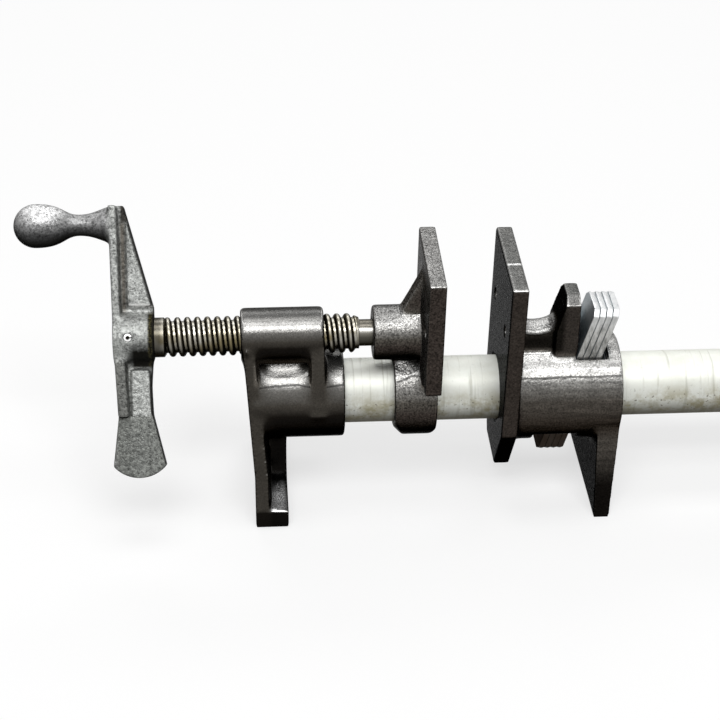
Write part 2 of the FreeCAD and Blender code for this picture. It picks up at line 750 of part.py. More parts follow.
def make_crank():
    """Hub, arm, tail and handle cast in one."""
    hub = rod(hub_left_x, hub_right_x, hub_diameter / 2, screw_axis_z)
    hub = rounded(hub, hub_bevel, on_end_circle(hub_right_x, hub_diameter / 2))
    casting = joined([hub, crank_flange(), crank_tail(), crank_handle()] + crank_web() + crank_panels())
    bore = rod(hub_left_x + hub_wall, hub_right_x + cut_overrun, screw_shank_diameter / 2 + pin_clearance,
               screw_axis_z)
    casting = casting.cut(bore).cut(crank_pin_blank(crank_pin_diameter / 2 + pin_clearance))
    return leaned_back(casting)


def make_crank_pin():
    """Hollow slit pin that locks the crank to the screw."""
    pin = crank_pin_blank(crank_pin_diameter / 2).cut(crank_pin_blank(crank_pin_bore / 2))
    slit = box(VEC(crank_pin_x, -hub_diameter, screw_axis_z - crank_pin_slit / 2),
               VEC(crank_pin_x + crank_pin_diameter, hub_diameter, screw_axis_z + crank_pin_slit / 2))
    pin = pin.cut(slit).common(rod(hub_left_x, hub_right_x, hub_diameter / 2, screw_axis_z))
    return leaned_back(pin)


def all_pieces():
    """Every node and its solid."""
    pieces = {
        "pipe": make_pipe(),
        "head_casting": make_head_casting(),
        "screw": make_screw(),
        "crank": make_crank(),
        "crank_pin": make_crank_pin(),
        "front_jaw": make_front_jaw(),
        "jaw_pin": make_jaw_pin(),
        "tail_casting": make_tail_casting(),
        "clutch_spring": make_clutch_spring(),
    }
    for number in range(plate_count):
        pieces["clutch_plate_%d" % (number + 1)] = make_clutch_plate(number)
    return pieces


os.makedirs("parts", exist_ok=True)
for name, shape in all_pieces().items():
    print(name, len(shape.Solids), shape.isValid(), round(shape.Volume, 1))
    shape.exportStep("parts/%s.step" % name)
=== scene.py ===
import json
import math

import bpy
import numpy as np
from mathutils import Matrix, Vector


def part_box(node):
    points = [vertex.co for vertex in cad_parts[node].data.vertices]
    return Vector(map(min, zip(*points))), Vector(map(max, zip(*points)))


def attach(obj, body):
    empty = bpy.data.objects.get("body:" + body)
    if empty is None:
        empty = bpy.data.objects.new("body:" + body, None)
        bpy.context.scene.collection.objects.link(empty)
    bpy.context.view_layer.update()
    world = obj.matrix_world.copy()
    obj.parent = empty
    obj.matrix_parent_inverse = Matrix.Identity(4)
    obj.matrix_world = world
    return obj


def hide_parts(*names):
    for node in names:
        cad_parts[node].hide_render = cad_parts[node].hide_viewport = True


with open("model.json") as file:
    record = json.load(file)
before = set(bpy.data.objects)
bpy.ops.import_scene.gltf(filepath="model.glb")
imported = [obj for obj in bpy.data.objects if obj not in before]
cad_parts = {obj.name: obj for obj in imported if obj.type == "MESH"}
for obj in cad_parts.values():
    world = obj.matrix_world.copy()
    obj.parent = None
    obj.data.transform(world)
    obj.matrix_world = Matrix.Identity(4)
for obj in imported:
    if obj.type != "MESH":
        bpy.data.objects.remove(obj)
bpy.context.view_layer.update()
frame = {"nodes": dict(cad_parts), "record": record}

MM = 0.001
NODES = frame["nodes"]

# Axes of the clamp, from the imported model
PIPE_LOW, PIPE_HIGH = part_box("pipe")
SCREW_LOW, SCREW_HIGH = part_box("screw")
PIPE_Z = (PIPE_LOW.z + PIPE_HIGH.z) / 2
SCREW_Z = (SCREW_LOW.z + SCREW_HIGH.z) / 2

# Camera, as fitted to the photograph
CAMERA_TARGET = Vector((37.26, 0, 62.44)) * MM
CAMERA_DISTANCE = 697.74 * MM
CAMERA_ELEVATION = 35.0
CAMERA_AZIMUTH = 4.55
CAMERA_ROLL = 1.17
FOCAL_PIXELS = 1705.75
IMAGE_PIXELS = 720
SENSOR = 36.0

# Screw
THREAD_PITCH = 4.0 * MM
CREST_RADIUS = 8.0 * MM
ROOT_RADIUS = 6.4 * MM
CREST_REACH = 1.45 * MM
NECK_RADIUS = 5.4 * MM
NECK_X = 36.6 * MM
THREAD_FADE = 3.6 * MM
PLAIN_COLLAR = 3.6 * MM
COLLAR_FADE = 1.2 * MM
HUB_X = -45.4 * MM
SHANK_RADIUS = 6.0 * MM
GROOVE_RADIUS = 3.9 * MM
GROOVE_HALF = 1.7 * MM
GROOVE_X = 51.7 * MM
RING_STEP = 0.2 * MM
RING_SIDES = 80

# Crank
CRANK_LEAN = math.radians(35)
CRANK_UP = Vector((0, math.sin(CRANK_LEAN), math.cos(CRANK_LEAN)))
CRANK_PIN_X = -55.7 * MM
CRANK_PIN_RADIUS = 1.5 * MM

# Cast skins
ALONG = Vector((1, 0, 0))
BORE_MARGIN = 0.5 * MM
FILLET_RATE = 0.9
EDGE_RATE = 0.5
WEAR_ROUNDS = 3
PIPE_BORE = 13.64 * MM
PAD_HOLE = 2.1 * MM
PAD_HOLE_Y = 14 * MM
PAD_HOLE_Z = 84.4 * MM
PARTING_Z = 59.4 * MM
PARTING_RISE = 2.4 * MM
HEAD_DRAFT_LOW = 61 * MM
HEAD_DRAFT_HIGH = 76 * MM
HEAD_SCREW_BORE = 8.3 * MM
HEAD_PIPE_BORE = 13.45 * MM
HEAD_PIPE_BORE_X = (3 * MM, 40 * MM)
HEAD_SCREW_BORE_X = (-30 * MM, 40 * MM)
BARREL_BORE = 18.9 * MM
JAW_NECK_BORE_X = (0.0, 60 * MM)
WHOLE_LENGTH_X = (-200 * MM, 400 * MM)
WELD_REACH = 0.002 * MM
PLATE_BEVEL = 0.4 * MM
WEAR_GAIN = 4
FACES_KEPT = 0.4
HEAD_DRAFTS = [[(-9 * MM, -3 * MM), (-2.5 * MM, -3 * MM), (-9 * MM, -12 * MM)],
               [(15 * MM, -3 * MM), (19 * MM, -3 * MM), (19 * MM, -9.5 * MM)]]

# Places on the castings where the finish and the painted light and shade change, as pairs of values between
# which they do
PARTING_STEP_X = (50 * MM, 60 * MM)
PARTING_WOBBLE = 1.4 * MM
PARTING_STEP = 0.35 * MM
PARTING_BLUR = 0.1 * MM
LEG_Z = (42 * MM, 38 * MM)
LEG_X = (-1.8 * MM, 0.6 * MM)
SCOOP_Y = (-10 * MM, -30 * MM)
SCOOP_Z = (12 * MM, 9 * MM)
SCOOP_LEFT_X = (-2 * MM, 2.5 * MM)
SCOOP_RIGHT_X = (6.4 * MM, 4.6 * MM)
WINDOW_X = (-6.2 * MM, 17 * MM)
WINDOW_Z = (61 * MM, 70 * MM)
WINDOW_Y = (-17 * MM, -15 * MM)
TAIL_PLATE_X = (101.5 * MM, 102.5 * MM)
TAIL_SADDLE_Z = (69 * MM, 71 * MM)
TAIL_LUG_X = (118 * MM, 120 * MM)
TAIL_FOOT_X = (110 * MM, 112 * MM)
TAIL_FOOT_Z = (34 * MM, 14 * MM)
TAIL_LOW_Z = (42 * MM, 36 * MM)
SAW_MARK_Y = (-6.3 * MM, -5.0 * MM)
SAW_MARK_X = (101 * MM, 100 * MM)
PLATE_SHINE_Z = (82 * MM, 86 * MM)
PLATE_DARK_Z = (38 * MM, 32 * MM)

# The same on the crank, across it along X and up its arm from the screw axis
ARM_SHADE_RISE = (-6 * MM, 3 * MM)
LOWER_ARM_RISE = (-7 * MM, -9 * MM)
SPINE_X = (-54.6 * MM, -56.8 * MM)
TAIL_RISE = (-29.8 * MM, -30.4 * MM)
ARM_GROOVE_X = (-58.3 * MM, -56.1 * MM)
ARM_GROOVE_RISE = (10 * MM, 47 * MM)
CAP_RISE = (44 * MM, 47 * MM)
CAP_X = (-58.6 * MM, -57.4 * MM)
HANDLE_X = (-60.5 * MM, -64 * MM)
BALL_X = (-82 * MM, -79 * MM)
RIM_RISE = (13.4 * MM, 14.6 * MM)
RIM_X = (-55.6 * MM, -55.0 * MM)
HOLLOW_TOP_RISE = (0.2 * MM, -4.6 * MM)
HOLLOW_LOW_RISE = (-13 * MM, -10.2 * MM)
HOLLOW_X = (-57.6 * MM, -53.6 * MM)
OILY_X = (-47.4 * MM, -46.6 * MM)
OILY_RISE = (-11 * MM, 10 * MM)
FLANGE_RISE = (0.0, 2 * MM)
FLANGE_X = (-57.9 * MM, -57.4 * MM)
HUB_FACE_X = (-53 * MM, -52 * MM)

# Lamps: name, elevation in degrees, width, height, power
STRIP_DISTANCE = 2.2
STRIP_TARGET = Vector((0.04, 0, 0.06))
STRIPS = (("key strip", 62, 2.0, 0.8, 30), ("top strip", 98, 1.6, 0.6, 11), ("back strip", 140, 1.8, 0.5, 9))


# Mesh helpers

def link(obj):
    bpy.context.scene.collection.objects.link(obj)
    return obj


def applied(obj):
    """Mesh of an object with its modifiers applied; the modifiers are removed."""
    bpy.context.view_layer.update()
    shown = obj.evaluated_get(bpy.context.evaluated_depsgraph_get())
    mesh = bpy.data.meshes.new_from_object(shown)
    obj.modifiers.clear()
    old = obj.data
    obj.data = mesh
    bpy.data.meshes.remove(old)
    return mesh


def welded_copy(node, name):
    """Closed copy of a node's mesh, without its split corners."""
    obj = link(bpy.data.objects.new(name, NODES[node].data.copy()))
    obj.data.materials.clear()
    weld = obj.modifiers.new("weld", "WELD")
    weld.merge_threshold = WELD_REACH
    applied(obj)
    return obj


def cut_rod(obj, point, way, radius, low, high):
    """Cuts a plain round bore along X, from low to high."""
    place = point + way * (low + high) / 2
    bpy.ops.mesh.primitive_cylinder_add(vertices=96, radius=radius, depth=high - low, location=place,
                                        rotation=(0, math.pi / 2, 0))
    cutter = bpy.context.object
    bore = obj.modifiers.new("bore", "BOOLEAN")
    bore.operation = "DIFFERENCE"
    bore.solver = "EXACT"
    bore.object = cutter
    applied(obj)
    bpy.data.objects.remove(cutter)


def coordinates(mesh):
    places = np.empty(len(mesh.vertices) * 3)
    mesh.vertices.foreach_get("co", places)
    return places.reshape(-1, 3)


def normals(mesh):
    found = np.empty(len(mesh.vertices) * 3)
    mesh.vertex_normals.foreach_get("vector", found)
    return found.reshape(-1, 3)


def neighbour_mean(places, ends, counts):
    """Mean place of each vertex's neighbours."""
    total = np.empty_like(places)
    for axis in range(3):
        total[:, axis] = np.bincount(ends[:, 0], places[ends[:, 1], axis], len(places)) \
            + np.bincount(ends[:, 1], places[ends[:, 0], axis], len(places))
    return total / counts[:, None]


def bore_along_x(radius, z, y=0.0, span=WHOLE_LENGTH_X):
    """A round bore along X, as (point, way, radius, low, high)."""
    return Vector((0, y, z)), ALONG, radius, *span


def soften(mesh, fillet_rounds, edge_rounds, bores):
    """Grows fillets in the inner corners, then takes the edge off the outer ones."""
    ends = np.empty(len(mesh.edges) * 2, dtype=np.int64)
    mesh.edges.foreach_get("vertices", ends)
    ends = ends.reshape(-1, 2)
    places = coordinates(mesh)
    counts = np.maximum(np.bincount(ends.ravel(), minlength=len(places)), 1)
    free = np.ones(len(places))
    for point, way, radius, low, high in bores:
        offset = places - np.array(point)
        reach = offset @ np.array(way)
        away = np.linalg.norm(offset - reach[:, None] * np.array(way), axis=1)
        free[(away < radius + BORE_MARGIN) & (reach > low) & (reach < high)] = 0
    for turn in range(fillet_rounds + edge_rounds):
        step = neighbour_mean(places, ends, counts) - places
        if turn < fillet_rounds:
            out = normals(mesh)
            along = np.maximum((step * out).sum(axis=1), 0) * free
            step = out * along[:, None]
        places = places + step * (FILLET_RATE if turn < fillet_rounds else EDGE_RATE)
        mesh.vertices.foreach_set("co", places.ravel())
        mesh.update()


def bend_of(mesh):
    """How convex each vertex is, in voxel lengths; it marks the edges that the materials paint as rubbed and
    as catching the light.
    """
    ends = np.empty(len(mesh.edges) * 2, dtype=np.int64)
    mesh.edges.foreach_get("vertices", ends)
    ends = ends.reshape(-1, 2)
    places = coordinates(mesh)
    counts = np.maximum(np.bincount(ends.ravel(), minlength=len(places)), 1)
    step = neighbour_mean(places, ends, counts) - places
    bend = -(step * normals(mesh)).sum(axis=1)
    for turn in range(WEAR_ROUNDS):
        bend = neighbour_mean(np.stack([bend, bend, bend], axis=1), ends, counts)[:, 0]
    return bend


def add_wear(mesh, voxel):
    """Stores the convexity as an attribute for the materials."""
    bend = np.clip(bend_of(mesh) / voxel * WEAR_GAIN, -1, 1)
    wear = mesh.attributes.new("wear", "FLOAT", "POINT")
    wear.data.foreach_set("value", bend.astype(np.float32))


def add_prism(obj, corners, low, high):
    """Joins in a three-sided prism along Z, on both sides of the casting."""
    faces = [(0, 1, 2), (5, 4, 3), (0, 3, 4, 1), (1, 4, 5, 2), (2, 5, 3, 0)]
    for side in (1, -1):
        points = [(x, y * side, z) for z in (low, high) for x, y in corners]
        mesh = bpy.data.meshes.new("draft")
        mesh.from_pydata(points, [], [face[::side] for face in faces])
        tool = link(bpy.data.objects.new("draft", mesh))
        union = obj.modifiers.new("draft", "BOOLEAN")
        union.operation = "UNION"
        union.solver = "EXACT"
        union.object = tool
        applied(obj)
        bpy.data.objects.remove(tool)


def cast_skin(node, name, voxel, fillet_rounds, edge_rounds, bores, drafts=()):
    """Replaces a casting by a copy with cast fillets, rounded edges and a convexity attribute, which the
    materials use for rubbed edges and painted edge highlights.
    """
    obj = welded_copy(node, name)
    for draft in drafts:
        add_prism(obj, *draft)
    if drafts:
        for bore in bores:
            cut_rod(obj, *bore)
    remesh = obj.modifiers.new("voxels", "REMESH")
    remesh.mode = "VOXEL"
    remesh.voxel_size = voxel
    remesh.use_smooth_shade = True
    applied(obj)
    soften(obj.data, fillet_rounds, edge_rounds, bores)
    add_wear(obj.data, voxel)
    thin = obj.modifiers.new("thin", "DECIMATE")
    thin.ratio = FACES_KEPT
    applied(obj)
    obj.data.shade_smooth()
    bodies = frame["record"]["behaviour"]["bodies"]
    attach(obj, next(body for body, nodes in bodies.items() if node in nodes))
    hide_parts(node)
    return obj


# Screw

def smooth(value):
    """Smooth step from 0 to 1."""
    value = np.clip(value, 0, 1)
    return value * value * (3 - 2 * value)


def thread_radius(x, angle):
    """Radius of the thread, with round crests that fade out at both ends."""
    phase = np.mod(x - THREAD_PITCH * angle / math.tau, THREAD_PITCH)
    away = np.abs(phase - THREAD_PITCH / 2) / CREST_REACH
    crest = np.clip(1 - away ** 2.4, 0, 1) ** 0.7
    crest = np.maximum(crest, 1 - smooth((x - HUB_X - PLAIN_COLLAR) / COLLAR_FADE))
    crest = crest * (1 - smooth((x - NECK_X + THREAD_FADE) / THREAD_FADE))
    return ROOT_RADIUS + (CREST_RADIUS - ROOT_RADIUS) * crest


def ring_mesh(name, rings):
    """Closed surface about the screw axis through rings of (x, radius per angle)."""
    angles = np.arange(RING_SIDES) / RING_SIDES * math.tau
    places = []
    for x, radius in rings:
        radius = np.broadcast_to(radius, RING_SIDES)
        places.append(np.stack([np.full(RING_SIDES, x), np.sin(angles) * radius,
                                SCREW_Z - np.cos(angles) * radius], axis=1))
    faces = []
    for ring in range(len(rings) - 1):
        for side in range(RING_SIDES):
            following = (side + 1) % RING_SIDES
            low, high = ring * RING_SIDES, (ring + 1) * RING_SIDES
            faces.append((low + side, low + following, high + following, high + side))
    faces.append(tuple(range(RING_SIDES))[::-1])
    faces.append(tuple(range((len(rings) - 1) * RING_SIDES, len(rings) * RING_SIDES)))
    mesh = bpy.data.meshes.new(name)
    mesh.from_pydata(np.concatenate(places).tolist(), [], faces)
    mesh.validate()
    return mesh


def make_screw():
    """Oiled screw with rolled round crests."""
    angles = np.arange(RING_SIDES) / RING_SIDES * math.tau
    rings = [(SCREW_LOW.x, SHANK_RADIUS), (HUB_X, SHANK_RADIUS)]
    for x in np.arange(HUB_X, NECK_X, RING_STEP):
        rings.append((x, thread_radius(x, angles)))
    rings += [(NECK_X, NECK_RADIUS), (GROOVE_X - GROOVE_HALF, NECK_RADIUS),
              (GROOVE_X - GROOVE_HALF, GROOVE_RADIUS), (GROOVE_X + GROOVE_HALF, GROOVE_RADIUS),
              (GROOVE_X + GROOVE_HALF, NECK_RADIUS), (SCREW_HIGH.x, NECK_RADIUS)]
    obj = link(bpy.data.objects.new("rolled_screw", ring_mesh("rolled_screw", rings)))
    # How far each vertex faces along the axis; the material paints shade on the flanks with it
    slope = np.abs(normals(obj.data)[:, 0])
    obj.data.attributes.new("flank", "FLOAT", "POINT").data.foreach_set("value", slope.astype(np.float32))
    obj.data.shade_smooth()
    obj.data.set_sharp_from_angle(angle=math.radians(50))
    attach(obj, "screw")
    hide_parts("screw")
    return obj


# Materials

class Shader:
    """A material's nodes, with short calls for the ones used here."""

    def __init__(self, name):
        self.material = bpy.data.materials.new(name)
        self.material.use_nodes = True
        self.tree = self.material.node_tree
        self.surface = self.tree.nodes["Principled BSDF"]
        coordinate = self.tree.nodes.new("ShaderNodeTexCoord")
        self.place = coordinate.outputs["Object"]
        self.facing = self.part_of(coordinate.outputs["Normal"])
        self.spot = self.part_of(self.place)

    def join(self, output, target):
        self.tree.links.new(output, target)

    def part_of(self, vector):
        """The X, Y and Z outputs of a vector."""
        node = self.tree.nodes.new("ShaderNodeSeparateXYZ")
        self.join(vector, node.inputs["Vector"])
        return node.outputs

    def reach(self, way):
        """How far a point lies along a direction."""
        node = self.tree.nodes.new("ShaderNodeVectorMath")
        node.operation = "DOT_PRODUCT"
        self.join(self.place, node.inputs[0])
        node.inputs[1].default_value = way
        return node.outputs["Value"]

    def within(self, value, low, high, blur):
        """1 between low and high, 0 outside."""
        return self.maths("MULTIPLY", self.between(value, low - blur, low + blur),
                          self.between(value, high + blur, high - blur))

    def upward(self, *stops):
        """A value set by how far the surface faces up, from -1 below to 1 on top."""
        return self.ramp(self.maths("MULTIPLY_ADD", self.facing["Z"], 0.5, 0.5),
                         [((height + 1) / 2, value) for height, value in stops])

    def between(self, value, low, high):
        """0 below low and 1 above high."""
        node = self.tree.nodes.new("ShaderNodeMapRange")
        self.join(value, node.inputs["Value"])
        node.inputs["From Min"].default_value = low
        node.inputs["From Max"].default_value = high
        return node.outputs["Result"]

    def recess(self, reach, low, high):
        """0 deep in the corners and hollows of the piece, 1 in the open."""
        node = self.tree.nodes.new("ShaderNodeAmbientOcclusion")
        node.samples = 6
        node.only_local = True
        node.inputs["Distance"].default_value = reach
        return self.between(node.outputs["AO"], low, high)

    def spread(self, noise, gain):
        """A noise made into a factor about 1."""
        return self.maths("MULTIPLY_ADD", noise, gain, 1 - gain / 2)

    def times(self, colour, factor):
        """A colour multiplied by a value or a plain number."""
        factor = (factor,) * 3 if isinstance(factor, float) else factor
        return self.mix(1.0, colour, factor, "MULTIPLY")

    def noise(self, scale, detail=4.0, rough=0.55, place=None):
        node = self.tree.nodes.new("ShaderNodeTexNoise")
        node.inputs["Scale"].default_value = scale
        node.inputs["Detail"].default_value = detail
        node.inputs["Roughness"].default_value = rough
        self.join(place or self.place, node.inputs["Vector"])
        return node.outputs["Fac"]

    def stretched(self, x, y, z):
        node = self.tree.nodes.new("ShaderNodeMapping")
        node.inputs["Scale"].default_value = (x, y, z)
        self.join(self.place, node.inputs["Vector"])
        return node.outputs["Vector"]

    def ramp(self, value, stops):
        node = self.tree.nodes.new("ShaderNodeValToRGB")
        ramp = node.color_ramp
        while len(ramp.elements) < len(stops):
            ramp.elements.new(0.5)
        for element, (place, colour) in zip(ramp.elements, stops):
            element.position = place
            element.color = (*colour, 1) if isinstance(colour, tuple) else (colour, colour, colour, 1)
        self.join(value, node.inputs["Fac"])
        return node.outputs["Color"]

    def mix(self, factor, first, second, kind="MIX"):
        node = self.tree.nodes.new("ShaderNodeMix")
        node.data_type = "RGBA"
        node.blend_type = kind
        for value, socket in ((factor, node.inputs[0]), (first, node.inputs[6]), (second, node.inputs[7])):
            if isinstance(value, bpy.types.NodeSocket):
                self.join(value, socket)
            elif isinstance(value, tuple):
                socket.default_value = (*value, 1)
            else:
                socket.default_value = value
        return node.outputs[2]

    def maths(self, kind, first, second=0.0, third=0.0):
        node = self.tree.nodes.new("ShaderNodeMath")
        node.operation = kind
        for value, socket in zip((first, second, third), node.inputs):
            if isinstance(value, bpy.types.NodeSocket):
                self.join(value, socket)
            else:
                socket.default_value = value
        return node.outputs["Value"]

    def attribute(self, name):
        node = self.tree.nodes.new("ShaderNodeAttribute")
        node.attribute_name = name
        return node.outputs["Fac"]

    def bump(self, height, distance, strength=1.0, below=None):
        node = self.tree.nodes.new("ShaderNodeBump")
        node.inputs["Distance"].default_value = distance
        node.inputs["Strength"].default_value = strength
        self.join(height, node.inputs["Height"])
        if below is not None:
            self.join(below, node.inputs["Normal"])
        return node.outputs["Normal"]

    def finish(self, colour, rough, normal, metallic, clear=0.5, rim=1.0):
        """Joins the surface; clear is the glass-like gloss, rim the shine seen at a flat angle."""
        self.join(colour, self.surface.inputs["Base Color"])
        self.join(rough, self.surface.inputs["Roughness"])
        self.join(normal, self.surface.inputs["Normal"])
        self.surface.inputs["Metallic"].default_value = metallic
        self.surface.inputs["Specular IOR Level"].default_value = clear
        self.surface.inputs["Specular Tint"].default_value = (rim, rim, rim, 1)
        return self.material


def parting(made, wobble):
    """Step, and the dark line below it, where the halves of the mould met on the round parts."""
    level = made.maths("MULTIPLY_ADD", made.between(made.spot["X"], *PARTING_STEP_X), PARTING_RISE, PARTING_Z)
    level = made.maths("MULTIPLY_ADD", wobble, PARTING_WOBBLE, level)
    above = made.maths("SUBTRACT", made.spot["Z"], level)
    facing = made.upward((0.35, 0.0), (0.45, 1.0), (0.8, 1.0), (0.9, 0.0))
    step = made.maths("MULTIPLY", made.between(above, 0.0, PARTING_STEP), facing)
    line = made.within(above, -PARTING_STEP, PARTING_BLUR / 2, PARTING_BLUR)
    return step, made.maths("MULTIPLY", line, facing)


def cast_finish(made, colour, rubbed_lit_edge, oil, gloss, gain, relief):
    """Grain, painted shade in the hollows and on faces turned away, rubbed edges that are painted bright as
    highlights where they face up and forward, and gloss that the dark castings share.
    """
    cloud = made.noise(90, 3)
    grain = made.noise(1500, 2, 0.6)
    pits = made.noise(800, 3, 0.65)
    step, line = parting(made, cloud)
    colour = made.times(colour, made.spread(cloud, 0.7))
    colour = made.times(colour, made.spread(grain, gain))
    colour = made.mix(line, colour, made.times(colour, 0.35))
    # Painted shade: faces turned away from the front are darkened
    colour = made.mix(made.between(made.facing["Y"], 0.25, 0.75), colour, made.times(colour, 0.35))
    # Painted shade in the corners and hollows, in the colour passed as oil
    colour = made.mix(made.recess(5 * MM, 0.1, 0.5), oil, colour)
    # Rubbed edges, lightened only where they face up and forward, so they are partly painted highlights
    edge = made.between(made.maths("MULTIPLY_ADD", pits, 0.5, made.attribute("wear")), 0.42, 0.75)
    edge = made.maths("MULTIPLY", edge, made.upward((0.3, 0.0), (0.6, 1.0)))
    forward = made.maths("MULTIPLY_ADD", made.between(made.facing["Y"], -0.15, -0.5), 0.8, 0.2)
    edge = made.maths("MULTIPLY", edge, forward)
    colour = made.mix(edge, colour, rubbed_lit_edge)
    rough = made.ramp(pits, [(0.3, gloss), (0.75, gloss + 0.14)])
    normal = made.bump(grain, 0.07 * MM * relief, 1.0)
    normal = made.bump(pits, 0.17 * MM * relief, 1.0, normal)
    normal = made.bump(step, 0.3 * MM, 1.0, normal)
    return made.finish(colour, rough, normal, 0.85, 0.0, 0.25)


def head_skin():
    """Smooth black skin, with painted light: lighter where it faces up, a painted highlight band where it
    faces up and forward, painted shade on the leg, and painted light and shade in the window and the scoop.
    """
    made = Shader("head casting")
    # Painted light: lighter where the skin faces up, with a painted highlight band where it faces up and
    # forward
    colour = made.upward((-0.35, (0.006, 0.005, 0.004)), (-0.05, (0.007, 0.006, 0.0052)),
                         (0.05, (0.009, 0.0075, 0.006)), (0.3, (0.05, 0.045, 0.038)),
                         (0.6, (0.13, 0.126, 0.118)), (0.72, (0.27, 0.266, 0.258)),
                         (0.84, (0.27, 0.266, 0.258)), (0.93, (0.13, 0.128, 0.123)),
                         (1.0, (0.1, 0.099, 0.096)))
    # Painted shade: near black on the lower leg, right of the flange
    leg = made.maths("MULTIPLY", made.between(made.spot["Z"], *LEG_Z),
                     made.between(made.spot["X"], *LEG_X))
    colour = made.mix(leg, colour, (0.005, 0.0045, 0.004))
    near = made.between(made.spot["Y"], *SCOOP_Y)
    floor = made.maths("MULTIPLY", made.between(made.spot["Z"], *SCOOP_Z),
                       made.upward((0.6, 0.0), (0.9, 1.0)))
    # Painted light in the window under the boss: lifted out of the shade, with a painted highlight band where
    # the collar faces up and forward
    window = made.maths("MULTIPLY", made.within(made.spot["X"], *WINDOW_X, 0.5 * MM),
                        made.within(made.spot["Z"], *WINDOW_Z, 1.5 * MM))
    walls = made.upward((0.0, (0.12, 0.105, 0.088)), (0.45, (0.1, 0.092, 0.08)), (0.6, (0.12, 0.116, 0.108)),
                        (0.7, (0.19, 0.187, 0.18)), (0.82, (0.19, 0.187, 0.18)), (0.87, (0.05, 0.05, 0.046)))
    colour = made.mix(made.maths("MULTIPLY", window, made.between(made.spot["Y"], *WINDOW_Y)), colour, walls)
    # Painted light and shade on the scoop's floor: dark under the collar, lighter towards its near rim
    scoop_painted_light = made.ramp(near, [(0.0, 0.01), (0.35, 0.14), (0.6, 0.45), (0.9, 0.85), (0.98, 1.0)])
    centre = made.maths("MULTIPLY", made.between(made.spot["X"], *SCOOP_LEFT_X),
                        made.between(made.spot["X"], *SCOOP_RIGHT_X))
    colour = made.mix(floor, colour, made.times(scoop_painted_light, centre))
    return cast_finish(made, colour, (0.6, 0.59, 0.57), (0.03, 0.026, 0.022), 0.2, 1.1, 0.6)


def tail_skin():
    """Black skin, with painted light: lighter where it faces up, painted highlights on the barrel and the
    saddle, painted shade on the left faces and near black painted shade on the foot, with a saw mark across
    the jaw's top.
    """
    made = Shader("tail casting")
    across, height = made.spot["X"], made.spot["Z"]
    # Painted light on the jaw plate: lighter where it faces up, brightest where it faces up and forward
    plate = made.upward((-0.35, (0.009, 0.0075, 0.006)), (0.0, (0.033, 0.027, 0.023)),
                        (0.3, (0.06, 0.055, 0.048)), (0.6, (0.17, 0.166, 0.158)), (0.8, (0.2, 0.198, 0.192)),
                        (1.0, (0.12, 0.12, 0.116)))
    # Painted shade: the jaw plate's faces turned to the left are dark
    side = made.between(made.facing["X"], -0.5, -0.9)
    plate = made.mix(side, plate, (0.014, 0.014, 0.014))
    # Painted highlight on the barrel: brightest where it faces up
    barrel = made.upward((-0.6, (0.009, 0.0075, 0.006)), (-0.1, (0.032, 0.026, 0.021)),
                         (0.3, (0.065, 0.058, 0.05)), (0.5, (0.13, 0.125, 0.116)),
                         (0.68, (0.24, 0.237, 0.228)),
                         (0.82, (0.38, 0.377, 0.368)), (1.0, (0.35, 0.347, 0.338)))
    drawn = made.noise(500, 3, 0.6, made.stretched(0.12, 1, 1))
    barrel = made.times(barrel, made.spread(drawn, 1.6))
    # Painted highlight along the saddle's top, with painted shade on its sides
    saddle = made.upward((0.0, (0.007, 0.006, 0.005)), (0.45, (0.018, 0.016, 0.013)),
                         (0.75, (0.3, 0.298, 0.29)),
                         (1.0, (0.34, 0.337, 0.33)))
    right = made.between(across, *TAIL_PLATE_X)
    upper = made.between(height, *TAIL_SADDLE_Z)
    colour = made.mix(right, plate, made.mix(upper, barrel, saddle))
    lug = made.maths("MULTIPLY", made.between(across, *TAIL_LUG_X), upper)
    colour = made.mix(lug, colour, made.times(plate, 0.85))
    # Painted shade: near black on the foot
    foot = made.maths("MULTIPLY", made.between(height, *TAIL_FOOT_Z), made.between(across, *TAIL_FOOT_X))
    colour = made.mix(foot, colour, (0.006, 0.005, 0.0043))
    # Painted shade: black on faces turned to the left, low down right of the jaw plate
    low = made.maths("MULTIPLY", made.between(height, *TAIL_LOW_Z), right)
    colour = made.mix(made.maths("MULTIPLY", low, side), colour, (0.001, 0.001, 0.001))
    line = made.within(made.spot["Y"], *SAW_MARK_Y, 0.25 * MM)
    line = made.maths("MULTIPLY", line, made.upward((0.7, 0.0), (0.9, 0.85)))
    line = made.maths("MULTIPLY", line, made.between(across, *SAW_MARK_X))
    colour = made.mix(line, colour, (0.6, 0.6, 0.59))
    return cast_finish(made, colour, (0.9, 0.89, 0.87), (0.014, 0.012, 0.01), 0.22, 2.4, 0.9)


def jaw_skin():
    """Coarse black skin with rubbed grains, painted lighter where it faces up and on faces turned to the
    left.
    """
    made = Shader("jaw casting")
    # Painted light: lighter where the skin faces up, brightest where it faces up and forward
    colour = made.upward((-0.35, (0.01, 0.0085, 0.007)), (0.0, (0.036, 0.029, 0.025)),
                         (0.3, (0.07, 0.064, 0.055)), (0.55, (0.2, 0.195, 0.185)), (0.8, (0.26, 0.257, 0.25)),
                         (1.0, (0.19, 0.188, 0.183)))
    # Painted reflection: faces turned to the left are lighter
    side = made.between(made.facing["X"], -0.5, -0.9)
    colour = made.mix(side, colour, (0.085, 0.08, 0.074))
    return cast_finish(made, colour, (0.95, 0.94, 0.92), (0.05, 0.045, 0.04), 0.2, 3.8, 1.3)


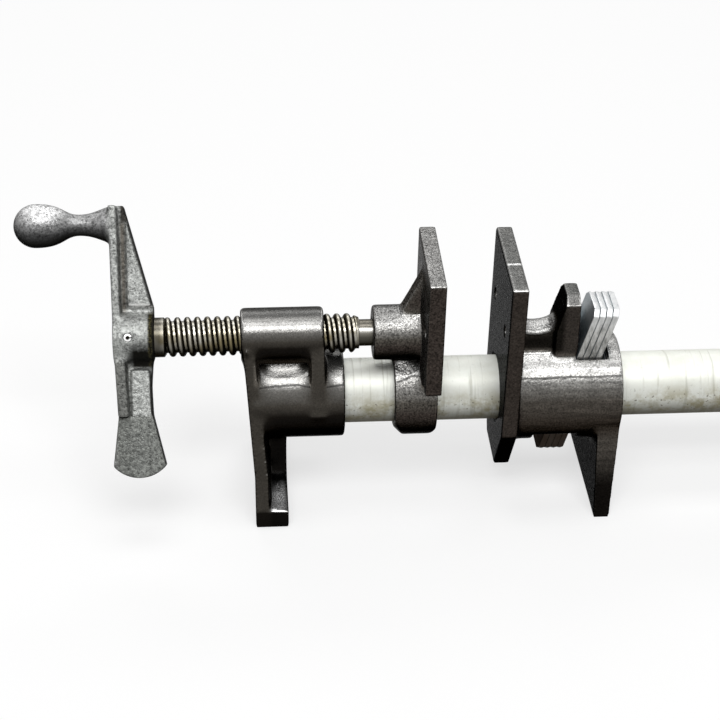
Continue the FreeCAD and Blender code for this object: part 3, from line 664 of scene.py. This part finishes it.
def grey_casting():
    """Bare grey cast skin of the crank: sandy, with painted shade in its hollows, in the groove, under the
    hub, at the top of the arm and on faces turned down, away and to the right, painted light on the ball
    handle, a painted highlight on the panel's lower rim, and rubbed edges partly painted as highlights.
    """
    made = Shader("bare casting")
    cloud = made.noise(70, 4)
    grain = made.noise(1500, 2, 0.6)
    sand = made.noise(780, 3, 0.7)
    rise = made.maths("SUBTRACT", made.reach(CRANK_UP), SCREW_Z * CRANK_UP.z)
    frayed = made.maths("MULTIPLY_ADD", sand, 2.4 * MM, rise)
    across = made.spot["X"]
    colour = made.ramp(cloud, [(0.3, (0.34, 0.35, 0.335)), (0.7, (0.44, 0.45, 0.435))])
    colour = made.mix(made.between(rise, *ARM_SHADE_RISE), colour, made.times(colour, 0.8))
    below = made.between(frayed, *LOWER_ARM_RISE)
    spine = made.between(across, *SPINE_X)
    colour = made.mix(made.maths("MULTIPLY", below, spine), colour, (0.15, 0.152, 0.143))
    tail = made.between(frayed, *TAIL_RISE)
    colour = made.mix(made.maths("MULTIPLY", tail, 0.9), colour, (0.16, 0.166, 0.155))
    # Painted shade in the groove beside the spine
    groove = made.maths("MULTIPLY", made.within(across, *ARM_GROOVE_X, 0.7 * MM),
                        made.within(rise, *ARM_GROOVE_RISE, 2 * MM))
    colour = made.mix(made.maths("MULTIPLY", groove, 0.85), colour, (0.06, 0.05, 0.038))
    # Painted shade at the top of the arm, right of the spine
    cap = made.maths("MULTIPLY", made.between(rise, *CAP_RISE), made.between(across, *CAP_X))
    colour = made.mix(cap, colour, (0.03, 0.028, 0.025))
    # Painted light and shade on the ball handle and its waist: light where they face up, dark below
    handle = made.between(across, *HANDLE_X)
    ball = made.upward((-0.5, 0.012), (0.05, 0.06), (0.5, 0.27), (0.8, 0.52), (0.95, 0.7))
    waist = made.upward((-0.5, 0.01), (0.1, 0.06), (0.45, 0.2), (0.8, 0.34))
    ball = made.mix(made.between(across, *BALL_X), ball, waist)
    colour = made.mix(handle, colour, ball)
    colour = made.times(colour, made.spread(sand, 3.3))
    dark = made.ramp(grain, [(0.3, 0.9), (0.42, 0.0)])
    colour = made.mix(dark, colour, (0.04, 0.04, 0.038))
    # Painted highlight: a bright line along the lower rim of the upper panel
    rim = made.maths("MULTIPLY", made.within(frayed, *RIM_RISE, 0.3 * MM),
                     made.between(across, *RIM_X))
    colour = made.mix(made.maths("MULTIPLY", rim, 0.8), colour, (0.75, 0.75, 0.73))
    # Painted shadow under the hub
    shade = made.between(frayed, *HOLLOW_TOP_RISE)
    hollow = made.maths("MULTIPLY", shade, made.between(frayed, *HOLLOW_LOW_RISE))
    hollow = made.maths("MULTIPLY", hollow, made.between(across, *HOLLOW_X))
    colour = made.mix(hollow, colour, (0.01, 0.0095, 0.008))
    oily = made.between(made.maths("MULTIPLY_ADD", sand, 1.6 * MM, across), *OILY_X)
    oily = made.maths("MULTIPLY", oily, made.within(rise, *OILY_RISE, MM))
    film = made.ramp(grain, [(0.45, (0.012, 0.011, 0.008)), (0.62, (0.09, 0.08, 0.04))])
    colour = made.mix(oily, colour, film)
    # Painted shade on faces turned to the right
    outer = made.maths("MULTIPLY", made.between(rise, *FLANGE_RISE), made.between(across, *FLANGE_X))
    outer = made.maths("MAXIMUM", outer, made.between(across, *HUB_FACE_X))
    side = made.maths("MULTIPLY", made.between(made.facing["X"], 0.55, 0.85), outer)
    colour = made.mix(made.maths("MULTIPLY", side, 0.9), colour, (0.03, 0.029, 0.027))
    lit = made.upward((-0.45, 0.0), (-0.05, 1.0))
    lit = made.maths("MAXIMUM", lit, made.between(made.facing["Y"], 0.0, 0.3))
    colour = made.mix(lit, (0.02, 0.02, 0.018), colour)
    # Painted shade on upward faces turned away from the front
    behind = made.between(made.facing["Y"], 0.2, 0.6)
    behind = made.maths("MULTIPLY", behind, made.upward((0.0, 0.0), (0.3, 1.0)))
    colour = made.mix(behind, colour, made.times(colour, 0.3))
    # Painted shade in the corners and hollows
    colour = made.mix(made.recess(3 * MM, 0.05, 0.45), (0.07, 0.065, 0.055), colour)
    # Rubbed edges, lightened only where they face up, so they are partly painted highlights
    edge = made.between(made.attribute("wear"), 0.35, 0.8)
    edge = made.maths("MULTIPLY", edge, made.upward((0.2, 0.0), (0.5, 0.5)))
    colour = made.mix(edge, colour, (0.7, 0.7, 0.68))
    rough = made.ramp(sand, [(0.3, 0.26), (0.75, 0.44)])
    normal = made.bump(grain, 0.08 * MM, 1.0)
    normal = made.bump(sand, 0.24 * MM, 1.0, normal)
    return made.finish(colour, rough, normal, 0.5, 0.0, 0.3)


def screw_steel():
    """Rolled steel: bright crests, brown oil, painted shade on the flanks, on faces turned away and below,
    and a painted highlight on the neck.
    """
    made = Shader("oiled screw")
    streak = made.noise(260, 4, 0.6, made.stretched(4, 1, 1))
    oil = made.noise(75, 3)
    colour = made.ramp(streak, [(0.3, (0.3, 0.285, 0.245)), (0.7, (0.68, 0.665, 0.61))])
    brown = made.ramp(oil, [(0.42, 0.1), (0.58, 0.9)])
    brown = made.maths("MULTIPLY", brown, made.upward((0.3, 1.0), (0.85, 0.35)))
    colour = made.mix(brown, colour, (0.24, 0.195, 0.09))
    # Painted shade on the thread flanks
    flank = made.ramp(made.attribute("flank"), [(0.12, 0.0), (0.55, 0.95)])
    colour = made.mix(flank, colour, (0.022, 0.018, 0.01))
    collar = made.between(made.spot["X"], HUB_X + 1.5 * PLAIN_COLLAR, HUB_X + PLAIN_COLLAR / 2)
    colour = made.mix(made.maths("MULTIPLY", collar, 0.8), colour, (0.04, 0.036, 0.028))
    # Painted highlight on the neck: a bright band where it faces up and forward, darker above and below
    neck = made.between(made.spot["X"], NECK_X - MM, NECK_X)
    colour = made.mix(neck, colour, made.upward((0.2, (0.1, 0.095, 0.08)), (0.5, (0.2, 0.19, 0.165)),
                                                (0.72, (0.6, 0.59, 0.56)), (0.85, (0.14, 0.13, 0.11))))
    # Painted shade on faces turned away and on the undersides
    colour = made.mix(made.between(made.facing["Y"], 0.2, 0.6), colour, made.times(colour, 0.25))
    colour = made.mix(made.upward((-0.35, 0.0), (0.5, 1.0)), (0.018, 0.016, 0.012), colour)
    rough = made.ramp(streak, [(0.3, 0.2), (0.7, 0.36)])
    normal = made.bump(streak, 0.06 * MM, 0.6)
    return made.finish(colour, rough, normal, 0.85, 0.0, 0.4)


def galvanised():
    """Pipe zinc: pale and warm, faintly ringed, with dark specks and painted shade on its underside."""
    made = Shader("galvanised pipe")
    rings = made.noise(300, 3, 0.6, made.stretched(2.2, 0.1, 0.1))
    cloud = made.noise(45, 4)
    speck = made.noise(700, 2, 0.5)
    colour = made.ramp(cloud, [(0.3, (0.8, 0.815, 0.75)), (0.7, (0.92, 0.935, 0.88))])
    colour = made.mix(made.ramp(rings, [(0.32, 0.6), (0.44, 0.0)]), colour, (0.55, 0.55, 0.48))
    stain = made.maths("MULTIPLY", made.ramp(made.noise(130, 4, 0.7), [(0.42, 0.0), (0.62, 0.85)]),
                       made.upward((0.0, 1.0), (0.55, 0.1)))
    colour = made.mix(stain, colour, (0.4, 0.36, 0.21))
    dirt = made.maths("MULTIPLY", made.ramp(speck, [(0.64, 0.0), (0.72, 0.8)]),
                      made.upward((0.1, 1.0), (0.5, 0.12)))
    colour = made.mix(dirt, colour, (0.14, 0.12, 0.08))
    # Painted shade on the underside
    colour = made.mix(made.upward((-0.6, 0.0), (0.12, 1.0)), (0.085, 0.076, 0.045), colour)
    rough = made.ramp(rings, [(0.3, 0.56), (0.7, 0.46)])
    normal = made.bump(rings, 0.04 * MM, 0.7)
    return made.finish(colour, rough, normal, 0.35, 0.2, 0.6)


def zinc_plate():
    """Bright zinc on stamped plates, scratched, lighter on the faces turned to the front, with painted
    highlights on the tops and upper parts, and darker towards their lower ends.
    """
    made = Shader("zinc plate")
    brushed = made.noise(700, 3, 0.6, made.stretched(0.3, 0.3, 3))
    scratch = made.noise(420, 4, 0.7, made.stretched(1, 1, 0.35))
    cloud = made.noise(220, 3)
    height = made.spot["Z"]
    colour = made.ramp(cloud, [(0.3, (0.17, 0.215, 0.24)), (0.7, (0.31, 0.36, 0.385))])
    # Real scratches, and painted light: the faces turned to the front are lighter
    front = made.between(made.facing["Y"], -0.4, -0.8)
    colour = made.mix(front, colour, made.ramp(scratch, [(0.35, (0.2, 0.2, 0.19)), (0.6, (0.5, 0.5, 0.48))]))
    # Painted highlights: bright on the faces turned up, and on the upper part of the plates
    top = made.maths("MULTIPLY", made.upward((0.35, 0.0), (0.6, 1.0)),
                     made.ramp(scratch, [(0.3, 0.5), (0.5, 1.0)]))
    colour = made.mix(top, colour, (0.78, 0.79, 0.79))
    upper = made.maths("MULTIPLY_ADD", scratch, 5 * MM, height)
    shine = made.maths("MULTIPLY", made.between(upper, *PLATE_SHINE_Z), 0.4)
    colour = made.mix(shine, colour, (0.8, 0.81, 0.81))
    # Darker towards the lower ends
    darker_low = made.between(made.maths("MULTIPLY_ADD", cloud, 8 * MM, height), *PLATE_DARK_Z)
    colour = made.mix(made.maths("MULTIPLY", darker_low, 0.97), colour, (0.022, 0.014, 0.009))
    rough = made.ramp(brushed, [(0.3, 0.26), (0.7, 0.45)])
    normal = made.bump(brushed, 0.04 * MM, 0.5)
    normal = made.bump(scratch, 0.1 * MM, 0.8, normal)
    return made.finish(colour, rough, normal, 0.8, 0.0, 0.4)


def spring_steel():
    """Plain drawn steel."""
    made = Shader("spring steel")
    grain = made.noise(500, 3)
    colour = made.ramp(grain, [(0.3, (0.2, 0.2, 0.21)), (0.7, (0.4, 0.4, 0.41))])
    rough = made.ramp(grain, [(0.3, 0.3), (0.7, 0.45)])
    return made.finish(colour, rough, made.bump(grain, 0.02 * MM), 0.9)


def pin_steel():
    """Bright drawn steel, with black painted shade inside the hollow pin."""
    made = Shader("pin steel")
    grain = made.noise(500, 3)
    colour = made.ramp(grain, [(0.3, (0.8, 0.8, 0.79)), (0.7, (0.95, 0.95, 0.94))])
    # Painted shade: black inside the hollow pin
    colour = made.mix(made.recess(3 * MM, 0.45, 0.7), (0.01, 0.01, 0.01), colour)
    rough = made.ramp(grain, [(0.3, 0.3), (0.7, 0.4)])
    return made.finish(colour, rough, made.bump(grain, 0.02 * MM), 0.8)


def wear(obj, material):
    """Gives an object one material."""
    obj.data.materials.clear()
    obj.data.materials.append(material)


def round_edges(node, width):
    """Takes the edge off a flat CAD piece."""
    obj = NODES[node]
    weld = obj.modifiers.new("weld", "WELD")
    weld.merge_threshold = WELD_REACH
    bevel = obj.modifiers.new("edges", "BEVEL")
    bevel.width = width
    bevel.segments = 3
    bevel.limit_method = "ANGLE"
    bevel.angle_limit = math.radians(35)
    bevel.harden_normals = False


# Camera, light and stage

def make_camera():
    """Camera at the photograph's angle."""
    tilt, turn, roll = (math.radians(v) for v in (CAMERA_ELEVATION, CAMERA_AZIMUTH, CAMERA_ROLL))
    ahead = Vector((math.sin(turn) * math.cos(tilt), math.cos(turn) * math.cos(tilt), -math.sin(tilt)))
    right = Vector((math.cos(turn), -math.sin(turn), 0))
    up = right.cross(ahead)
    right, up = (right * math.cos(roll) + up * math.sin(roll), up * math.cos(roll) - right * math.sin(roll))
    camera = link(bpy.data.objects.new("camera", bpy.data.cameras.new("camera")))
    camera.data.sensor_width = SENSOR
    camera.data.lens = FOCAL_PIXELS / IMAGE_PIXELS * SENSOR
    camera.data.clip_start = 0.01
    camera.matrix_world = Matrix.Translation(CAMERA_TARGET - ahead * CAMERA_DISTANCE) \
        @ Matrix((right, up, -ahead)).transposed().to_4x4()
    bpy.context.scene.camera = camera


def area_light(name, place, target, width, height, power):
    """Softbox that faces a point."""
    data = bpy.data.lights.new(name, "AREA")
    data.shape = "RECTANGLE"
    data.size = width
    data.size_y = height
    data.energy = power
    light = link(bpy.data.objects.new(name, data))
    light.location = place
    light.rotation_euler = (target - place).to_track_quat("-Z", "Y").to_euler()


def seen_or_reflected(tree):
    """1 for rays from the camera, in a reflection or through glass."""
    path = tree.nodes.new("ShaderNodeLightPath")
    total = path.outputs["Is Camera Ray"]
    for name in ("Is Glossy Ray", "Is Transmission Ray"):
        node = tree.nodes.new("ShaderNodeMath")
        node.operation = "MAXIMUM"
        tree.links.new(total, node.inputs[0])
        tree.links.new(path.outputs[name], node.inputs[1])
        total = node.outputs["Value"]
    return total


def by_ray(tree, hidden, shown, target):
    """Sets one value for what is seen or reflected and another for the light it gives."""
    choice = tree.nodes.new("ShaderNodeMapRange")
    choice.inputs["To Min"].default_value = hidden
    choice.inputs["To Max"].default_value = shown
    tree.links.new(seen_or_reflected(tree), choice.inputs["Value"])
    tree.links.new(choice.outputs["Result"], target)


def make_stage():
    """White surroundings and floor, with three soft strips above the clamp."""
    world = bpy.data.worlds.new("studio")
    bpy.context.scene.world = world
    world.use_nodes = True
    background = world.node_tree.nodes["Background"]
    background.inputs["Color"].default_value = (1, 1, 1, 1)
    by_ray(world.node_tree, 0.16, 1.0, background.inputs["Strength"])
    bpy.ops.mesh.primitive_plane_add(size=12, location=(0, 0, 0))
    floor = bpy.context.object
    floor.name = "floor"
    material = bpy.data.materials.new("floor")
    material.use_nodes = True
    surface = material.node_tree.nodes["Principled BSDF"]
    by_ray(material.node_tree, 0.25, 0.4, surface.inputs["Base Color"])
    by_ray(material.node_tree, 0.0, 0.63, surface.inputs["Emission Strength"])
    surface.inputs["Emission Color"].default_value = (1, 1, 1, 1)
    surface.inputs["Roughness"].default_value = 0.9
    surface.inputs["Specular IOR Level"].default_value = 0.0
    floor.data.materials.append(material)
    for name, elevation, width, height, power in STRIPS:
        turn = math.radians(elevation)
        place = STRIP_TARGET + Vector((0, -math.cos(turn), math.sin(turn))) * STRIP_DISTANCE
        area_light(name, place, STRIP_TARGET, width, height, power)


def dress():
    """Pieces and materials."""
    head_bores = [bore_along_x(HEAD_SCREW_BORE, SCREW_Z, span=HEAD_SCREW_BORE_X),
                  bore_along_x(HEAD_PIPE_BORE, PIPE_Z, span=HEAD_PIPE_BORE_X)]
    pads = [bore_along_x(PAD_HOLE, PAD_HOLE_Z, y) for y in (-PAD_HOLE_Y, PAD_HOLE_Y)]
    jaw_bores = pads + [bore_along_x(PIPE_BORE, PIPE_Z),
                        bore_along_x(NECK_RADIUS, SCREW_Z, span=JAW_NECK_BORE_X)]
    tail_bores = pads + [bore_along_x(BARREL_BORE, PIPE_Z)]
    crank_bores = [(Vector((CRANK_PIN_X, 0, SCREW_Z)), CRANK_UP.cross(ALONG), CRANK_PIN_RADIUS, -0.02, 0.02)]
    drafts = [(corners, HEAD_DRAFT_LOW, HEAD_DRAFT_HIGH) for corners in HEAD_DRAFTS]
    head = cast_skin("head_casting", "cast_head", 0.5 * MM, 160, 5, head_bores, drafts)
    jaw = cast_skin("front_jaw", "cast_front_jaw", 0.45 * MM, 150, 6, jaw_bores)
    tail = cast_skin("tail_casting", "cast_tail", 0.5 * MM, 30, 3, tail_bores)
    crank = cast_skin("crank", "cast_crank", 0.42 * MM, 60, 5, crank_bores)
    wear(head, head_skin())
    wear(tail, tail_skin())
    wear(jaw, jaw_skin())
    wear(crank, grey_casting())
    wear(make_screw(), screw_steel())
    wear(NODES["pipe"], galvanised())
    zinc = zinc_plate()
    for name in sorted(NODES):
        if name.startswith("clutch_plate"):
            wear(NODES[name], zinc)
            round_edges(name, PLATE_BEVEL)
    wear(NODES["crank_pin"], pin_steel())
    steel = spring_steel()
    for name in ("clutch_spring", "jaw_pin"):
        wear(NODES[name], steel)


dress()
make_camera()
make_stage()
bpy.context.scene.view_settings.view_transform = "Standard"
